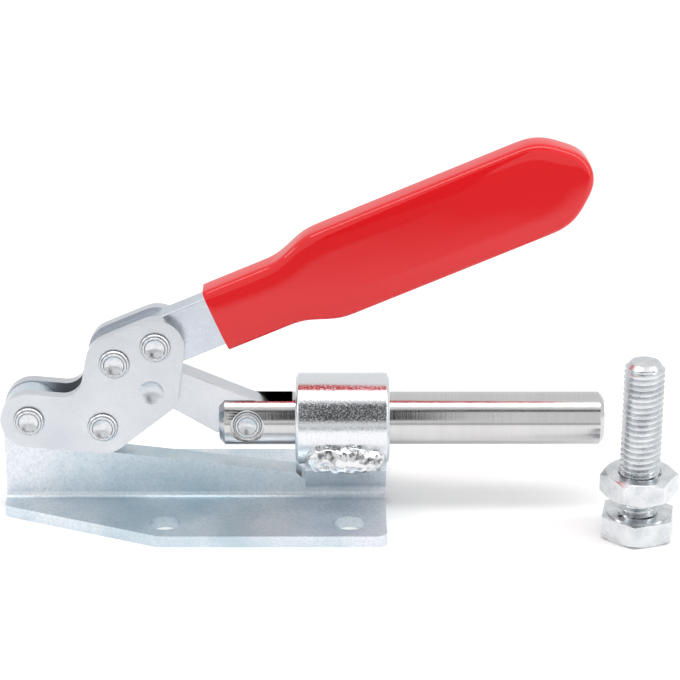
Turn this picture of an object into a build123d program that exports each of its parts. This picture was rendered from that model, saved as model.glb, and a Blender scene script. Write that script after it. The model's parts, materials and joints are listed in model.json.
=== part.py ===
"""Push-pull toggle clamp with a flanged base, a welded guide collar and a dipped grip.

Frame: X is the push direction of the plunger, Z is up, and the origin is the centre of
the four base holes on the underside of the base.  All sizes are millimetres.

The base is two bent sheets standing back to back.  A lever of two side plates and a flat
bar turns on the rear rivet, and a cranked link drives the plunger through the collar.
The clamp is built locked: the link rivet lies just below the line of its neighbours.
"""
from build123d import *
from math import asin, atan2, cos, degrees, radians, sin, sqrt
import os

os.makedirs("parts", exist_ok=True)

# ---- base: two bent sheets -------------------------------------------------------------
SHEET = 3.0                 # thickness of both base halves
BASE_WIDTH = 52.0           # over both flanges
REAR_WIDTH = 17.0           # over both flanges at the narrow rear end
TAPER_LENGTH = 40.0         # length of the tapered rear stretch
BEND_RADIUS = 1.5           # inside radius of each bend
CORNER_RADIUS = 2.5         # flange corners
HOLE_SPACING_X = 46.0
HOLE_SPACING_Y = 37.0
HOLE_DIAMETER = 7.5
FRONT_MARGIN = 9.2          # hole centre to the front end of the base
WEB_HEIGHT_FRONT = 9.7      # top of the web where it meets the collar
WEB_HEIGHT_REAR = 17.8      # top of the web's slope, carried on to the base pivot
LOBE_RADIUS = 6.9           # rounded lobe of the web about the base pivot
LOBE_FILLET = 4.0
FLARE_ANGLE = 45.0          # the web sheets open into a cradle under the collar
FLARE_PAST = 0.8            # cradle sheet beyond its line of contact
RELIEF_LENGTH = 2.4         # notch between the plain web and the cradle
RELIEF_DROP = 1.4

# ---- collar, welds and plunger ---------------------------------------------------------
AXIS_HEIGHT = 23.5          # plunger axis above the underside of the base
COLLAR_DIAMETER = 23.2
COLLAR_LENGTH = 23.6
COLLAR_OVERHANG = 0.8       # collar beyond the front end of the base
COLLAR_CHAMFER = 0.7
PLUNGER_DIAMETER = 13.5
PLUNGER_LENGTH = 96.8
PLUNGER_REACH = 54.0        # plunger beyond the collar when locked
TAIL_CHAMFER = 1.4
NOSE_CHAMFER = 1.1
SLOT_WIDTH = 6.3
SLOT_PAST_PIN = 11.2        # slot end beyond the plunger rivet
TAIL_TO_PIN = 7.1           # tail end of the plunger to its rivet
SPOT_FACE_DIAMETER = 8.6
SPOT_FACE_SPAN = 9.4        # across the two spot faces
THREAD_CORE = 8.5           # tapped hole for an M10 spindle
THREAD_DEPTH = 26.0
BEAD_RADIUS = 4.4           # weld bead along the edge of each cradle sheet
BEAD_LENGTH = 19.6
BEAD_RISE = 2.2             # bead centre above the end of the cradle sheet
BEAD_END = 2.6              # turned-down ends of the bead

# ---- lever: side plates, bar and grip --------------------------------------------------
PIVOT_X = -57.4             # base rivet
PIVOT_HEIGHT = 25.3
CRANK_RUN = 18.45           # base rivet to link rivet, along X
CRANK_DROP = 1.7            # and down
HANDLE_RUN = 21.9           # base rivet to the rear handle rivet, along X
HANDLE_RISE = 15.4          # and up
HANDLE_ANGLE = 23.35        # of the bar above X when locked
HANDLE_PITCH = 11.2         # between the two handle rivets
PLATE_THICKNESS = 3.0
PLATE_EYE = 7.2             # plate outline about each rivet
PLATE_TOE_X = 35.2          # centre of the plate's front lower corner, from the base rivet
PLATE_TOE_Z = 5.3
PLATE_TOE_RADIUS = 2.2
PLATE_NOTCH_FILLET = 5.0
STOP_X = 30.9               # pressed stop, from the base rivet
STOP_Z = 7.7
STOP_DIAMETER = 6.3         # pressed pit outside
STOP_BUMP_DIAMETER = 5.2    # bump inside
STOP_PIT = 1.3
STOP_BUMP = 0.9
BAR_WIDTH = 13.1
BAR_DROP = 0.6              # its centre line below the handle rivets
PADDLE_WIDTH = 20.0
PADDLE_START = 47.5         # along the bar from its rear rivet
PADDLE_SLOPE = 9.0
HANDLE_LENGTH = 123.4       # rear rivet to the end of the bar
SHOULDER_RADIUS = 9.0
GRIP_START = 27.4
GRIP_WALL = 1.8
GRIP_ROUND = 3.7
DRIP_LENGTH = 2.1           # the dip's last drop, beyond the round end of the grip
DRIP_RADIUS = 7.8
LEVER_TRAVEL = 122.0        # degrees from locked to fully drawn back

# ---- link ------------------------------------------------------------------------------
LINK_EYE_REAR = 6.2
LINK_EYE_FRONT = 6.4
LINK_SLACK = 0.15           # each side, between the side plates
ELBOW_X = 5.0               # from the stop, which seats against the elbow
ELBOW_Z = 0.1
ELBOW_RADIUS = 4.95
HOCK_X = 4.6                # the narrow lower arm, passing under the stop
HOCK_Z = -2.1
HOCK_RADIUS = 3.2

# ---- rivets ----------------------------------------------------------------------------
RIVET_DIAMETER = 6.0
HEAD_DIAMETER = 7.7
HEAD_HEIGHT = 1.4
CUP_DIAMETER = 5.0
CUP_FLOOR_DIAMETER = 2.0
CUP_DEPTH = 0.8
PIN_HEAD_DIAMETER = 7.4
PIN_HEAD_HEIGHT = 0.9

# ---- spindle bolt and its nut ----------------------------------------------------------
BOLT_DIAMETER = 10.0
BOLT_LENGTH = 40.0          # under the head
ACROSS_FLATS = 17.0
CORNER_CHAMFER = 0.9        # height of the turned corners of the hexagons
BOLT_HEAD_HEIGHT = 6.3
WASHER_FACE_DIAMETER = 15.6
WASHER_FACE_HEIGHT = 0.3
NUT_HEIGHT = 5.9
NUT_GAP = 4.8               # between the head and the nut
NUT_COUNTERSINK = 0.5
BOLT_TIP_CHAMFER = 1.4
BOLT_X = 94.7               # where the bolt stands on its head beside the clamp
BOLT_Y = -18.0
HEAD_TURN = 19.0            # degrees from a corner on X to a corner

# ---- clearances ------------------------------------------------------------------------
RUNNING_FIT = 0.06          # radial, at every pin or bore that turns or slides
FACE_FIT = 0.10             # between sliding flat faces
MOTION_ROOM = 0.30          # around what only passes by
FREE_STEPS = 12             # stations used to sweep a moving outline


# ---- places worked out from the sizes above --------------------------------------------
front_x = HOLE_SPACING_X / 2 + FRONT_MARGIN
rear_x = PIVOT_X - LOBE_RADIUS
collar_front = front_x + COLLAR_OVERHANG
collar_rear = collar_front - COLLAR_LENGTH
nose_x = collar_front + PLUNGER_REACH
tail_x = nose_x - PLUNGER_LENGTH
collar_radius = COLLAR_DIAMETER / 2
plunger_radius = PLUNGER_DIAMETER / 2
flare_x = collar_rear + RELIEF_LENGTH

base_pivot = Vector(PIVOT_X, PIVOT_HEIGHT)
link_rivet = base_pivot + Vector(CRANK_RUN, -CRANK_DROP)
handle_rivet = base_pivot + Vector(HANDLE_RUN, HANDLE_RISE)
bar_direction = Vector(cos(radians(HANDLE_ANGLE)), sin(radians(HANDLE_ANGLE)))
front_handle_rivet = handle_rivet + bar_direction * HANDLE_PITCH
plunger_pin = Vector(tail_x + TAIL_TO_PIN, AXIS_HEIGHT)
stop = base_pivot + Vector(STOP_X, STOP_Z)

plate_inside = SHEET + FACE_FIT
plate_outside = plate_inside + PLATE_THICKNESS
rivet_radius = RIVET_DIAMETER / 2


# ---- mechanism -------------------------------------------------------------------------
crank_length = (link_rivet - base_pivot).length
link_length = (plunger_pin - link_rivet).length
crank_start = degrees(atan2(-CRANK_DROP, CRANK_RUN))


def crank_end(lever_angle):
    """Place of the link rivet when the lever has turned by lever_angle degrees."""
    angle = radians(crank_start + lever_angle)
    return base_pivot + Vector(cos(angle), sin(angle)) * crank_length


def true_plunger_pin(lever_angle):
    """Place of the plunger rivet that closes the real linkage."""
    end = crank_end(lever_angle)
    drop = end.Y - AXIS_HEIGHT
    return Vector(end.X + sqrt(link_length**2 - drop**2), AXIS_HEIGHT)


def link_slope(lever_angle):
    """Angle of the link's chord below X, in degrees, in the real linkage."""
    return degrees(asin((crank_end(lever_angle).Y - AXIS_HEIGHT) / link_length))


plunger_stroke = plunger_pin.X - true_plunger_pin(LEVER_TRAVEL).X
link_swing = link_slope(LEVER_TRAVEL) - link_slope(0)


# ---- small helpers ---------------------------------------------------------------------
def slab(outline, y_front, y_back):
    """Solid between two Y planes, from an outline drawn in X and Z."""
    return extrude(Plane.XZ.offset(-y_back) * outline, y_back - y_front)


def disc(centre, radius):
    return Pos(centre.X, centre.Y) * Circle(radius)


def hull(*discs):
    """Outline drawn tight round discs, each a (centre, radius) pair."""
    return make_hull([edge for centre, radius in discs for edge in disc(centre, radius).edges()])


def bore(centre, radius, half_width):
    """Round hole along Y, through everything between plus and minus half_width."""
    return slab(disc(centre, radius), -half_width, half_width)


def bar_along_x(outline, x_from, x_to):
    """Solid along X from an outline drawn in Y and Z."""
    return extrude(Plane.YZ.offset(x_from) * outline, x_to - x_from)


def mirrored(shape):
    return mirror(shape, about=Plane.XZ)


def biggest(shape):
    return max(shape.solids(), key=lambda solid: solid.volume)


# ---- base halves -----------------------------------------------------------------------
half_angle = radians(FLARE_ANGLE)
knee_z = AXIS_HEIGHT - (collar_radius + SHEET / 2 - SHEET / 2 * cos(half_angle)) / sin(half_angle)
knee_to_contact = (AXIS_HEIGHT - knee_z) * cos(half_angle) - SHEET / 2 * sin(half_angle)
flare_end = Vector(-SHEET / 2, knee_z) + Vector(-sin(half_angle), cos(half_angle)) * (
    knee_to_contact + FLARE_PAST
)


def bent_sheet(*upper_points):
    """Section of one base half in Y and Z: flange, bend and whatever the web does above."""
    points = [(-BASE_WIDTH / 2, SHEET / 2), (-SHEET / 2, SHEET / 2), *upper_points]
    middle = FilletPolyline(*points, radius=BEND_RADIUS + SHEET / 2)
    return trace(middle, line_width=SHEET)


def web_outline():
    """Side view of the plain web: pivot lobe, dip under the link and slope to the collar."""
    relief_z = WEB_HEIGHT_FRONT - RELIEF_DROP
    body = make_face(Polyline(
        (rear_x, 0),
        (flare_x, 0),
        (flare_x, relief_z),
        (collar_rear + RELIEF_DROP, relief_z),
        (collar_rear, WEB_HEIGHT_FRONT),
        (PIVOT_X, WEB_HEIGHT_REAR),
        (rear_x, WEB_HEIGHT_REAR),
        close=True,
    ))
    lobe = disc(base_pivot, LOBE_RADIUS)
    neck = Pos(PIVOT_X, PIVOT_HEIGHT / 2) * Rectangle(2 * LOBE_RADIUS, PIVOT_HEIGHT)
    outline = body + lobe + neck
    corner = outline.vertices().filter_by(
        lambda v: abs(v.X - PIVOT_X - LOBE_RADIUS) < 0.01 and v.Y > SHEET and v.Y < PIVOT_HEIGHT - 1
    )
    return fillet(corner, LOBE_FILLET)


def flange_plan():
    """Plan of one half: full width in front, tapering to the narrow rear end."""
    plan = make_face(Polyline(
        (rear_x, 0),
        (rear_x, -REAR_WIDTH / 2),
        (rear_x + TAPER_LENGTH, -BASE_WIDTH / 2),
        (front_x, -BASE_WIDTH / 2),
        (front_x, 0),
        close=True,
    ))
    return fillet(plan.vertices().filter_by(lambda v: v.Y < -SHEET), CORNER_RADIUS)


def base_half():
    top = PIVOT_HEIGHT + LOBE_RADIUS
    plain = bar_along_x(bent_sheet((-SHEET / 2, top)), rear_x, flare_x)
    plain &= slab(web_outline(), -BASE_WIDTH / 2, 0)
    cradle = bar_along_x(bent_sheet((-SHEET / 2, knee_z), flare_end), flare_x, front_x)
    half = (plain + cradle) & extrude(flange_plan(), top)
    for x in (-HOLE_SPACING_X / 2, HOLE_SPACING_X / 2):
        half -= Pos(x, -HOLE_SPACING_Y / 2, SHEET / 2) * Cylinder(HOLE_DIAMETER / 2, 2 * SHEET)
    half -= bore(base_pivot, rivet_radius, SHEET)
    return half


# ---- collar and weld beads -------------------------------------------------------------
def cylinder_x(radius, x_from, x_to):
    """Round solid along X, on the plunger's axis."""
    return bar_along_x(Pos(0, AXIS_HEIGHT) * Circle(radius), x_from, x_to)


def guide_collar():
    collar = cylinder_x(collar_radius, collar_rear, collar_front)
    collar -= cylinder_x(plunger_radius + RUNNING_FIT, collar_rear, collar_front)
    return chamfer(collar.edges().filter_by(GeomType.CIRCLE), COLLAR_CHAMFER)


def weld_bead(base, collar):
    """Blunt-ended bead in the corner between the front cradle sheet and the collar."""
    bead = Rot(0, 90, 0) * Cylinder(BEAD_RADIUS, BEAD_LENGTH)
    bead = chamfer(bead.edges().filter_by(GeomType.CIRCLE), BEAD_END)
    bead = Pos((flare_x + front_x) / 2, flare_end.X, flare_end.Y + BEAD_RISE) * bead
    collar_space = cylinder_x(collar_radius, flare_x - BEAD_LENGTH, front_x + BEAD_LENGTH)
    return biggest(bead - collar_space - base)


# ---- plunger ---------------------------------------------------------------------------
def plunger():
    """Ground rod, slotted at the tail for the link and tapped at the nose for the spindle."""
    rod = cylinder_x(plunger_radius, tail_x, nose_x)
    ends = rod.edges().filter_by(GeomType.CIRCLE).sort_by(Axis.X)
    rod = chamfer(ends[0], TAIL_CHAMFER)
    rod = chamfer(rod.edges().filter_by(GeomType.CIRCLE).sort_by(Axis.X)[-1], NOSE_CHAMFER)
    slot_end = plunger_pin.X + SLOT_PAST_PIN
    slot_size = (slot_end - tail_x, SLOT_WIDTH, PLUNGER_DIAMETER)
    rod -= Pos(tail_x, 0, AXIS_HEIGHT) * Box(*slot_size, align=(Align.MIN, Align.CENTER, Align.CENTER))
    rod -= bore(plunger_pin, rivet_radius, plunger_radius)
    spot_face = slab(disc(plunger_pin, SPOT_FACE_DIAMETER / 2), SPOT_FACE_SPAN / 2, PLUNGER_DIAMETER)
    rod -= spot_face + mirrored(spot_face)
    return rod - cylinder_x(THREAD_CORE / 2, nose_x - THREAD_DEPTH, nose_x)


# ---- side plates -----------------------------------------------------------------------
def plate_outline():
    """Arm from the base pivot to the link rivet, and the body up to the handle rivets."""
    toe = base_pivot + Vector(PLATE_TOE_X, PLATE_TOE_Z)
    eyes = [(centre, PLATE_EYE) for centre in (link_rivet, handle_rivet, front_handle_rivet)]
    outline = hull((base_pivot, PLATE_EYE), (link_rivet, PLATE_EYE))
    outline += hull(*eyes, (toe, PLATE_TOE_RADIUS))
    return offset(offset(outline, PLATE_NOTCH_FILLET), -PLATE_NOTCH_FILLET)


def shallow_cap(y, width, height):
    """Ball behind the plane y at the stop; its cap of that width rises by height."""
    radius = ((width / 2) ** 2 + height**2) / (2 * height)
    return Pos(stop.X, y + height - radius, stop.Y) * Sphere(radius)


def side_plate():
    """Front plate, with a pressed stop: a round pit outside and the bump that it raises."""
    plate = slab(plate_outline(), -plate_outside, -plate_inside)
    plate -= bore(base_pivot, rivet_radius + RUNNING_FIT, plate_outside)
    for centre in (link_rivet, handle_rivet, front_handle_rivet):
        plate -= bore(centre, rivet_radius, plate_outside)
    bump = shallow_cap(-plate_inside, STOP_BUMP_DIAMETER, STOP_BUMP)
    plate += bump & slab(disc(stop, STOP_BUMP_DIAMETER), -plate_inside, 0)
    return plate - shallow_cap(-plate_outside, STOP_DIAMETER, STOP_PIT)


# ---- handle bar and grip ---------------------------------------------------------------
handle_place = Pos(handle_rivet.X, 0, handle_rivet.Y) * Rot(0, -HANDLE_ANGLE, 0) * Pos(0, 0, -BAR_DROP)


def bar_outline():
    """Bar along its own axis: round rear end, neck, sloped shoulders, paddle, round end."""
    neck, paddle = BAR_WIDTH / 2, PADDLE_WIDTH / 2
    shoulder = PADDLE_START + PADDLE_SLOPE
    tip = HANDLE_LENGTH - paddle
    upper = [(0, neck), (PADDLE_START, neck), (shoulder, paddle), (tip, paddle)]
    lower = [(x, -z) for x, z in reversed(upper)]
    blade = make_face(Polyline(*upper, *lower, close=True))
    corners = [v for v in blade.vertices() if PADDLE_START - 1 < v.X < shoulder + 1]
    return fillet(corners, SHOULDER_RADIUS) + Circle(neck) + Pos(tip, 0) * Circle(paddle)


def handle_bar():
    bar = handle_place * slab(bar_outline(), -plate_inside, plate_inside)
    for centre in (handle_rivet, front_handle_rivet):
        bar -= bore(centre, rivet_radius, plate_inside)
    return bar


def grip():
    """Dipped sleeve: the bar's own outline grown by the wall, with soft edges all round."""
    half_depth = plate_inside + GRIP_WALL
    past_start = Pos(GRIP_START + HANDLE_LENGTH / 2, 0) * Rectangle(HANDLE_LENGTH, HANDLE_LENGTH)
    round_end = Vector(HANDLE_LENGTH - PADDLE_WIDTH / 2, 0)
    drip = Vector(HANDLE_LENGTH + GRIP_WALL + DRIP_LENGTH - DRIP_RADIUS, 0)
    outline = offset(bar_outline(), GRIP_WALL) & past_start
    outline += hull((round_end, PADDLE_WIDTH / 2 + GRIP_WALL), (drip, DRIP_RADIUS))
    sleeve = slab(outline, -half_depth, half_depth)
    rims = [e for e in sleeve.edges() if abs(e.center().Y) > half_depth - 0.01]
    rims = [e for e in rims if e.center().X > GRIP_START + 0.01]
    sleeve = fillet(rims, GRIP_ROUND)
    return handle_place * (sleeve - slab(bar_outline(), -plate_inside, plate_inside))


# ---- link ------------------------------------------------------------------------------
def seen_from_link(outline, lever_angle):
    """An outline that moves with the plunger, where the link has it at this lever angle."""
    share = lever_angle / LEVER_TRAVEL
    end = crank_end(lever_angle)
    back_to_link = Pos(link_rivet.X, link_rivet.Y) * Rot(0, 0, link_swing * share) * Pos(-end.X, -end.Y)
    return back_to_link * Pos(-plunger_stroke * share, 0) * outline


def swept_past_link(outline):
    """Everything that an outline of the plunger passes over, beside the link's front eye."""
    angles = [LEVER_TRAVEL * step / FREE_STEPS for step in range(FREE_STEPS + 1)]
    seen = [seen_from_link(outline, angle) for angle in angles]
    room = seen[0]
    for before, after in zip(seen, seen[1:]):
        room += make_hull(before.edges() + after.edges())
    return room


def link():
    """Cranked flat link; its front eye is a hook, open below for the plunger rivet."""
    elbow = stop + Vector(ELBOW_X, ELBOW_Z)
    hock = stop + Vector(HOCK_X, HOCK_Z)
    outline = hull((plunger_pin, LINK_EYE_FRONT), (elbow, ELBOW_RADIUS))
    outline += hull((link_rivet, LINK_EYE_REAR), (hock, HOCK_RADIUS))
    outline -= disc(link_rivet, rivet_radius + RUNNING_FIT)
    bar_place = Pos(handle_rivet.X, handle_rivet.Y) * Rot(0, 0, HANDLE_ANGLE) * Pos(0, -BAR_DROP)
    outline -= bar_place * offset(bar_outline(), MOTION_ROOM)
    # the pressed stops seat against the elbow and swing away from it as the lever opens
    to_stop = stop - link_rivet
    seat = STOP_BUMP_DIAMETER / 2 + FACE_FIT
    stop_direction = degrees(atan2(to_stop.Y, to_stop.X))
    outline -= disc(stop, seat)
    outline -= trace(CenterArc(link_rivet, to_stop.length, stop_direction, LEVER_TRAVEL / 2), 2 * seat)
    rivet_space = disc(plunger_pin, rivet_radius + MOTION_ROOM)
    outline -= make_hull([edge for face in swept_past_link(rivet_space).faces() for edge in face.edges()])
    slot_wall = Pos(plunger_pin.X + SLOT_PAST_PIN - MOTION_ROOM, AXIS_HEIGHT) * Rectangle(
        PLUNGER_DIAMETER, PLUNGER_DIAMETER + 2 * MOTION_ROOM, align=(Align.MIN, Align.CENTER)
    )
    outline -= swept_past_link(slot_wall)
    half_width = plate_inside - LINK_SLACK
    return biggest(slab(outline, -half_width, half_width))


# ---- rivets ----------------------------------------------------------------------------
def rivet(centre, half_grip, head_diameter=HEAD_DIAMETER, head_height=HEAD_HEIGHT):
    """Solid rivet along Y with cupped heads; half_grip is from its middle to each head."""
    face = half_grip + head_height
    head, cup = head_diameter / 2, CUP_DIAMETER / 2
    outline = Polyline(
        (0, face - CUP_DEPTH),
        (0, 0),
        (rivet_radius, 0),
        (rivet_radius, half_grip),
        (head, half_grip),
        (head, half_grip + head_height / 3),
        ((head + cup) / 2, face),
        (cup, face),
        (CUP_FLOOR_DIAMETER / 2, face - CUP_DEPTH),
        close=True,
    )
    half = revolve(make_face(outline), Axis.Y)
    return Pos(centre.X, 0, centre.Y) * (half + mirrored(half))


# ---- spindle bolt and nut --------------------------------------------------------------
def hexagon(height, turn, chamfered_top):
    """Hexagonal blank standing on Z = 0, its corners turned off below and, if asked, above."""
    blank = extrude(RegularPolygon(ACROSS_FLATS / 2, 6, major_radius=False, rotation=turn), height)
    corner = ACROSS_FLATS / sqrt(3)
    turned = Cylinder(corner, height, align=(Align.CENTER, Align.CENTER, Align.MIN))
    rims = turned.edges().filter_by(GeomType.CIRCLE).sort_by(Axis.Z)
    if not chamfered_top:
        rims = rims[:1]
    side = turned.faces().filter_by(GeomType.CYLINDER)[0]
    reach = CORNER_CHAMFER * sqrt(3)
    return blank & chamfer(rims, CORNER_CHAMFER, reach, reference=side)


def spindle_bolt():
    """Spindle bolt, standing on its head with the thread upwards."""
    upright = (Align.CENTER, Align.CENTER, Align.MIN)
    blank_height = BOLT_HEAD_HEIGHT - WASHER_FACE_HEIGHT
    bolt = hexagon(blank_height, HEAD_TURN, False)
    bolt += Pos(0, 0, blank_height) * Cylinder(WASHER_FACE_DIAMETER / 2, WASHER_FACE_HEIGHT, align=upright)
    shank = Cylinder(BOLT_DIAMETER / 2, BOLT_LENGTH, align=upright)
    shank = chamfer(shank.edges().filter_by(GeomType.CIRCLE).sort_by(Axis.Z)[-1], BOLT_TIP_CHAMFER)
    return Pos(BOLT_X, BOLT_Y, 0) * (bolt + Pos(0, 0, BOLT_HEAD_HEIGHT) * shank)


def lock_nut():
    nut = hexagon(NUT_HEIGHT, 0, True)
    nut -= Pos(0, 0, NUT_HEIGHT / 2) * Cylinder(BOLT_DIAMETER / 2, NUT_HEIGHT)
    mouths = [e for e in nut.edges().filter_by(GeomType.CIRCLE) if e.radius < BOLT_DIAMETER * 0.51]
    nut = chamfer(mouths, NUT_COUNTERSINK)
    return Pos(BOLT_X, BOLT_Y, BOLT_HEAD_HEIGHT + NUT_GAP) * nut


# ---- all pieces ------------------------------------------------------------------------
front_base = base_half()
collar = guide_collar()
front_bead = weld_bead(front_base, collar)
front_plate = side_plate()

pieces = {
    "base_plate_front": front_base,
    "base_plate_rear": mirrored(front_base),
    "guide_collar": collar,
    "weld_bead_front": front_bead,
    "weld_bead_rear": mirrored(front_bead),
    "plunger": plunger(),
    "side_plate_front": front_plate,
    "side_plate_rear": mirrored(front_plate),
    "handle_bar": handle_bar(),
    "grip": grip(),
    "link": link(),
    "base_rivet": rivet(base_pivot, plate_outside + FACE_FIT),
    "link_rivet": rivet(link_rivet, plate_outside),
    "rear_handle_rivet": rivet(handle_rivet, plate_outside),
    "front_handle_rivet": rivet(front_handle_rivet, plate_outside),
    "plunger_rivet": rivet(plunger_pin, SPOT_FACE_SPAN / 2, PIN_HEAD_DIAMETER, PIN_HEAD_HEIGHT),
    "spindle_bolt": spindle_bolt(),
    "lock_nut": lock_nut(),
}
for name, piece in pieces.items():
    export_step(piece, f"parts/{name}.step")

print(f"lever travel {LEVER_TRAVEL:.1f} deg, plunger stroke {plunger_stroke:.3f} mm")
print(f"link swing {link_swing:.3f} deg, link relative to the lever {-LEVER_TRAVEL - link_swing:.3f} deg")
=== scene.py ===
"""Looks of the push-pull toggle clamp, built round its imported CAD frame.  Sizes are metres,
written in millimetres times MM.  X is the push direction, Z is up, the floor is Z = 0.
"""

import json
from math import cos, pi, radians, sin, sqrt, tau

import bmesh
import bpy
from mathutils import Matrix, Vector, noise

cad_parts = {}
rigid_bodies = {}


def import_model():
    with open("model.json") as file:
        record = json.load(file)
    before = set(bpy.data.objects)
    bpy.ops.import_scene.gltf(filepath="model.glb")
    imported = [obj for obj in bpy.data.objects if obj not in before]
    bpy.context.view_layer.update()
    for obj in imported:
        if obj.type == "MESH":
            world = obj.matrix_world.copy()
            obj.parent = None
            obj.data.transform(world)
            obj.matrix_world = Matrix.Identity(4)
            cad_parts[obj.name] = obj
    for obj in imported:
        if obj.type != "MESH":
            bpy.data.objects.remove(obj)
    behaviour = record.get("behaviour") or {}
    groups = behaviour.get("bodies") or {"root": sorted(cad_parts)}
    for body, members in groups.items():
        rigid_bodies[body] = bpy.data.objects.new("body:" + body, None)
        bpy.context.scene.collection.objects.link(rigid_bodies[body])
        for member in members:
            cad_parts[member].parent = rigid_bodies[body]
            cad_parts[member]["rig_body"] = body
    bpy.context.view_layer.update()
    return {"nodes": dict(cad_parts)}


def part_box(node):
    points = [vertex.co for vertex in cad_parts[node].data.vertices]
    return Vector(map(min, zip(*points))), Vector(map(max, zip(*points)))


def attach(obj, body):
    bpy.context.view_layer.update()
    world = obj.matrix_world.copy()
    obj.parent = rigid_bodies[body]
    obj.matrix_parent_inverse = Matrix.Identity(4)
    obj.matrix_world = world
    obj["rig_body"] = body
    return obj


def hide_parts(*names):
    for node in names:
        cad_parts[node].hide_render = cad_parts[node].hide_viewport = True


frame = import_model()
nodes = frame["nodes"]
MM = 0.001


# ---- base plates -----------------------------------------------------------------------
# Two pressed sheets of 3 mm steel standing back to back, each bent into a flange, a web and
# a cradle for the collar.  Blanked, bent and barrel plated with zinc, so the finish is bluish
# and cloudy, and the sheared edges are slightly rounded.
SHEARED_EDGE = 0.25 * MM
SAME_POINT = 0.001 * MM
FLAT_ANGLE = radians(0.3)
SHARP_ANGLE = radians(30)
BASE_ZINC_DULL = (0.55, 0.66, 0.725)
BASE_ZINC_CLEAR = (0.80, 0.83, 0.87)
BASE_ROUGHNESS = 0.46
BASE_SPECKLE = 0.45
CLOUD_SCALE = 45.0
CLOUD_BAND = (0.36, 0.64)
SPECK_SCALE = 1500.0
SPECK_BAND = (0.44, 0.66)
SPECK_SHADE = 0.74
GRAIN_SCALE = 2400.0
GRAIN_STRETCH = (9.0, 1.0, 1.0)
GRAIN_BAND = (0.3, 0.7)
GRAIN_SWING = 0.12
GRAIN_RELIEF = 0.003 * MM
PEEL_SCALE = 420.0
PEEL_RELIEF = 0.050 * MM


def new_material(name, metallic=1.0):
    """A material with nothing but a Principled shader, its node tree and that shader."""
    material = bpy.data.materials.new(name)
    material.use_nodes = True
    tree = material.node_tree
    tree.nodes.clear()
    output = tree.nodes.new("ShaderNodeOutputMaterial")
    shader = tree.nodes.new("ShaderNodeBsdfPrincipled")
    shader.inputs["Metallic"].default_value = metallic
    tree.links.new(shader.outputs["BSDF"], output.inputs["Surface"])
    return material, tree, shader


def object_pattern(tree, scale, stretch=(1.0, 1.0, 1.0), turn=0.0, detail=4.0, rough=0.55):
    """Noise laid on the piece in its own coordinates, stretched along X, Y and Z."""
    place = tree.nodes.new("ShaderNodeTexCoord")
    mapping = tree.nodes.new("ShaderNodeMapping")
    mapping.vector_type = "TEXTURE"
    mapping.inputs["Rotation"].default_value = (0.0, turn, 0.0)
    mapping.inputs["Scale"].default_value = stretch
    pattern = tree.nodes.new("ShaderNodeTexNoise")
    pattern.inputs["Scale"].default_value = scale
    pattern.inputs["Detail"].default_value = detail
    pattern.inputs["Roughness"].default_value = rough
    tree.links.new(place.outputs["Object"], mapping.inputs["Vector"])
    tree.links.new(mapping.outputs["Vector"], pattern.inputs["Vector"])
    return pattern.outputs["Fac"]


def spread(tree, value, band, result=(0.0, 1.0)):
    """Map a band of a pattern's values onto another, or onto nought to one."""
    ranged = tree.nodes.new("ShaderNodeMapRange")
    for name, number in zip(("From Min", "From Max", "To Min", "To Max"), (*band, *result)):
        ranged.inputs[name].default_value = number
    tree.links.new(value, ranged.inputs["Value"])
    return ranged.outputs["Result"]


def blend_colours(tree, factor, first, second):
    """A colour between two others; each is a plain colour or an earlier blend."""
    mix = tree.nodes.new("ShaderNodeMix")
    mix.data_type = "RGBA"
    for socket, colour in ((mix.inputs["A"], first), (mix.inputs["B"], second)):
        if isinstance(colour, tuple):
            socket.default_value = (*colour, 1.0)
        else:
            tree.links.new(colour, socket)
    tree.links.new(factor, mix.inputs["Factor"])
    return mix.outputs["Result"]


def colour_and_polish(tree, shader, colour, roughness):
    """Join a colour and a roughness to a shader."""
    tree.links.new(colour, shader.inputs["Base Color"])
    tree.links.new(roughness, shader.inputs["Roughness"])


def raise_bumps(tree, shader, *layers):
    """Stack bump layers, each a (height, distance) pair, on a shader's normal."""
    below = None
    for height, distance in layers:
        bump = tree.nodes.new("ShaderNodeBump")
        bump.inputs["Distance"].default_value = distance
        tree.links.new(height, bump.inputs["Height"])
        if below:
            tree.links.new(below, bump.inputs["Normal"])
        below = bump.outputs["Normal"]
    tree.links.new(below, shader.inputs["Normal"])


def zinc_plate(name, dull, clear, rough, speckle, grain_turn=0.0):
    """Bright zinc on sheet steel: clouded tint, rolling grain, a slight orange peel."""
    material, tree, shader = new_material(name)
    clouds = spread(tree, object_pattern(tree, CLOUD_SCALE, turn=grain_turn), CLOUD_BAND)
    specks = object_pattern(tree, SPECK_SCALE, detail=5.0, rough=0.7)
    specked = spread(tree, specks, SPECK_BAND, (0.0, speckle))
    shaded = tuple(SPECK_SHADE * value for value in dull)
    colour = blend_colours(tree, specked, blend_colours(tree, clouds, dull, clear), shaded)
    grain = object_pattern(tree, GRAIN_SCALE, GRAIN_STRETCH, grain_turn, detail=3.0)
    swing = (rough * (1 - GRAIN_SWING), rough * (1 + GRAIN_SWING))
    colour_and_polish(tree, shader, colour, spread(tree, grain, GRAIN_BAND, swing))
    peel = object_pattern(tree, PEEL_SCALE, detail=3.0)
    raise_bumps(tree, shader, (peel, PEEL_RELIEF), (grain, GRAIN_RELIEF))
    return material


def wear(piece, node, material):
    """Give a finished piece its material and its body, and hide the CAD node that it stands for."""
    piece.data.materials.clear()
    piece.data.materials.append(material)
    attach(piece, nodes[node]["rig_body"])
    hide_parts(node)


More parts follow.
